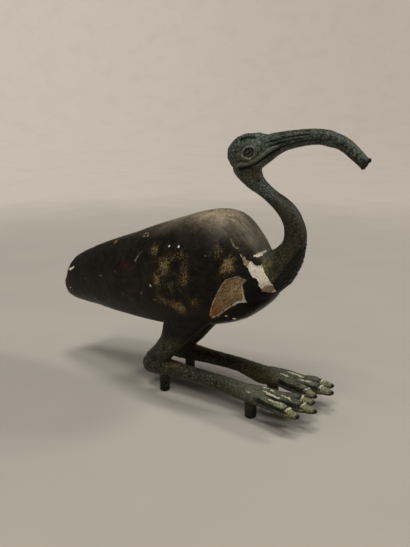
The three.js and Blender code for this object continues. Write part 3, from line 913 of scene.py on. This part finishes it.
def make_leg(name, node, leg):
    aside = leg["side"] * LEG_SPACING / 2
    right = leg["side"] < 0
    limbs = [
        loft(THIGH_STATIONS, LOFT_SIDES, LOFT_RINGS),
        loft(shank_stations(leg), LOFT_SIDES, LOFT_RINGS),
        peg(0, REAR_PEG_RADIUS, REAR_PEG_RADIUS),
        peg(PEG_SPACING, FRONT_PEG_TOP_RADIUS, FRONT_PEG_FOOT_RADIUS),
    ]
    toes = [loft(toe_stations(leg, toe), LOFT_SIDES, LOFT_RINGS) for toe in leg["toes"]]
    mesh = fused(name, [moved_aside(part, aside) for part in limbs] + toes)
    points = read(mesh, "co")
    x, y, z = points.T
    toe, gap = toe_masks(points, leg)
    between = step(gap, 2.9, 4.2) * step(x, 84, 94) * step(z, 17, 20) * (gap < 20)
    deposits = np.zeros(len(points))
    for path, width in RIGHT_DEPOSITS if right else LEFT_DEPOSITS:
        deposits = np.maximum(deposits, line_mask(points, path, width, 0.8))
    holes = pits(points, 1.9, 0.3, 220)
    skin = 0.17 * fractal(points, 4.5, 3, 200) + 0.12 * noise(points, 1.6, 210)
    dimple = np.exp(-(np.linalg.norm((points - (-4.5, aside + leg["side"] * 7, 29.5)) * (1, 0.5, 1), axis=1) / 3.4) ** 2)
    carving = 0.55 * toe["cuticle"] - 0.6 * toe["crease"] - 0.45 * between + 0.35 * deposits - 1.0 * dimple
    floor = step(z, 0.3, 1.5)
    carve(mesh, (carving + skin * (1 - 0.4 * toe["nail"]) - 0.2 * holes) * floor)
    foot = step(x, leg["ankle"] - 24, leg["ankle"] + 10) * step(z, 15, 20)
    thigh = step(z, 44, 56)
    green = np.zeros(len(points))
    for gx, gy, gz, radius in RIGHT_GREEN if right else LEFT_GREEN:
        green = np.maximum(green, np.exp(-(np.linalg.norm(points - (gx, gy, gz), axis=1) / radius) ** 2))
    rear = step(-x, -12, -7)
    inner_hock = stroke(points, [(2, aside, 28), (14, aside, 26)], 7, 1, 0)
    ankle = stroke(points, [(leg["ankle"] - 8, aside - 5, 20), (leg["ankle"] + 14, aside - 6, 16)], 7, 1, 0)
    # Paler feet and upper shank; painted shade in the creases, between the toes and in the hock's dimple, with dark
    # pits; the thigh top dark, partly a black coat and partly painted shade under the body; painted shade under the
    # feet and on the rear pegs; dark claws
    masks = {
        "raised": (foot * (0.75 + 0.5 * fractal(points, 7, 2, 230)) + 0.25 * step(z, 22, 28) * step(x, 15, 60)).clip(0, 1),
        "hollow_shade_and_pits": np.maximum(np.maximum(step(0.9 * toe["crease"] + between, 0.3, 0.9), 0.7 * holes), 0.6 * dimple),
        "dark": np.maximum.reduce([0.95 * thigh, 0.75 * rear * step(-z, -16, -9), 0.95 * toe["claw"], 0.35 * step(-z, -15, -10)]),
        "green": green,
        "crust": (0.95 * deposits + 0.7 * toe["cuticle"] + 0.12 * foot).clip(0, 1),
        "ochre": (0.0 if right else 0.6) * ankle + (0.5 * spot(points, 13, 27, 5, 3) if right else 0),
        "red": (0.15 if right else 0.7) * inner_hock,
        "nail": toe["nail"],
    }
    paint = bronze_material(
        "leg_bronze", (0.0065, 0.007, 0.0027), (0.026, 0.025, 0.0105), (0.125, 0.13, 0.078), (0.33, 0.35, 0.2)
    )
    return finish_piece(name, mesh, paint, node, masks)


# Studio: a pale floor, a backdrop far round it that only the camera sees, soft lamps, and the
# camera at the photograph's place

CAMERA_PLACE = Vector((275.07, -379.96, 230.5))
CAMERA_TURN = math.radians(33.08)
CAMERA_TILT = math.radians(16.04)
FOCAL_PIXELS = 600
IMAGE_HEIGHT = 547
SENSOR = 36
FLOOR_RADIUS = 1.2
BACKDROP_RADIUS = 3.6
BACKDROP_BEND = 1.6
BACKDROP_HEIGHT = 3.4
BACKDROP_TURNS = 128
LAMP_DISTANCE = 4
PAPER = (0.45, 0.4, 0.337)
PAPER_GLOW_LEFT = (0.57, 0.51, 0.436)
PAPER_GLOW_RIGHT = (0.478, 0.415, 0.354)


def ringed(name, profile, material):
    """A round sheet from radius and height pairs."""
    turns = np.linspace(0, FULL_TURN, BACKDROP_TURNS, endpoint=False)
    points = [(r * math.cos(a), r * math.sin(a), h) for r, h in profile for a in turns]
    faces = []
    for i in range(len(profile) - 1):
        for k in range(BACKDROP_TURNS):
            a = i * BACKDROP_TURNS + k
            b = i * BACKDROP_TURNS + (k + 1) % BACKDROP_TURNS
            faces.append((a, b, b + BACKDROP_TURNS, a + BACKDROP_TURNS))
    mesh = bpy.data.meshes.new(name)
    mesh.from_pydata(points, [], faces)
    mesh.shade_smooth()
    mesh.materials.append(material)
    sheet = bpy.data.objects.new(name, mesh)
    bpy.context.scene.collection.objects.link(sheet)
    return sheet


def paper_material():
    """Pale paper that is lit near the figure and, far from it, glows as painted light, lighter towards the left of
    the view.
    """
    p = Paint("paper", 0.0, 0.1)
    parts = p.node("ShaderNodeSeparateXYZ")
    p.feed(parts.inputs[0], p.place)
    x, y, z = parts.outputs
    far = p.between(p.sum(p.sum(p.times(x, x), p.times(y, y)), z), 0.1, 1.3)
    across = p.sum(p.times(x, math.cos(CAMERA_TURN)), p.times(y, math.sin(CAMERA_TURN)))
    glow = p.mix(p.between(across, -1.2, 1.2), PAPER_GLOW_LEFT, PAPER_GLOW_RIGHT)
    mottle = p.between(p.noise(110, 4, 0.6), 0.3, 0.7, 0.965, 1.03)
    p.feed(p.shader.inputs["Emission Color"], p.mix(p.times(far, mottle), (0, 0, 0), glow))
    p.shader.inputs["Emission Strength"].default_value = 1
    near = p.mix(p.between(mottle, 0.965, 1.03), tuple(0.97 * c for c in PAPER), PAPER)
    return p.finish(p.mix(far, near, (0, 0, 0)), 0.9, p.noise(1.5, 2), 0.04)


def make_sheets():
    material = paper_material()
    ringed("floor", [(r, 0.0) for r in (0.0, 0.4, 0.8, FLOOR_RADIUS)], material)
    profile = [(FLOOR_RADIUS, 0.0), (1.6, 0.0)]
    for a in np.linspace(0, math.pi / 2, 17):
        profile.append((
            BACKDROP_RADIUS - BACKDROP_BEND + BACKDROP_BEND * math.sin(a),
            BACKDROP_BEND * (1 - math.cos(a)),
        ))
    profile.append((BACKDROP_RADIUS, BACKDROP_HEIGHT))
    backdrop = ringed("backdrop", profile, material)
    backdrop.visible_diffuse = False
    backdrop.visible_glossy = False
    backdrop.visible_shadow = False


def lamp(name, towards, size, watts, color=(1, 1, 1)):
    """A soft square lamp that shines on the figure from a direction."""
    data = bpy.data.lights.new(name, "AREA")
    data.size = size * LAMP_DISTANCE
    data.energy = watts
    data.color = color
    light = bpy.data.objects.new(name, data)
    back = Vector(towards).normalized()
    light.location = Vector((0, 0, 0.08)) + back * LAMP_DISTANCE
    light.rotation_mode = "QUATERNION"
    light.rotation_quaternion = back.to_track_quat("Z", "Y")
    bpy.context.scene.collection.objects.link(light)


def make_studio():
    make_sheets()
    lamp("overhead", (0.1, -0.02, 1), 0.22, 56)
    lamp("overhead_front", (0, -0.36, 1), 0.22, 50)
    lamp("front", (0, -0.8, 1), 0.3, 14)
    lamp("right", (90, 82, 92), 0.18, 48)
    world = bpy.data.worlds.new("soft_room")
    world.use_nodes = True
    world.node_tree.nodes["Background"].inputs["Color"].default_value = (1, 1, 1, 1)
    world.node_tree.nodes["Background"].inputs["Strength"].default_value = 0.1
    bpy.context.scene.world = world
    bpy.context.scene.view_settings.view_transform = "Standard"


def make_camera():
    data = bpy.data.cameras.new("camera")
    data.sensor_width = SENSOR
    data.lens = FOCAL_PIXELS * SENSOR / IMAGE_HEIGHT
    data.clip_start = 0.01
    camera = bpy.data.objects.new("camera", data)
    camera.location = (CAMERA_PLACE + TO_FRAME) / 1000
    camera.rotation_euler = (math.pi / 2 - CAMERA_TILT, 0, CAMERA_TURN)
    bpy.context.scene.collection.objects.link(camera)
    bpy.context.scene.camera = camera


make_camera()
make_studio()
make_body()
make_head_and_neck()
make_leg("right_leg_cast", "right_leg", RIGHT_LEG)
make_leg("left_leg_cast", "left_leg", LEFT_LEG)
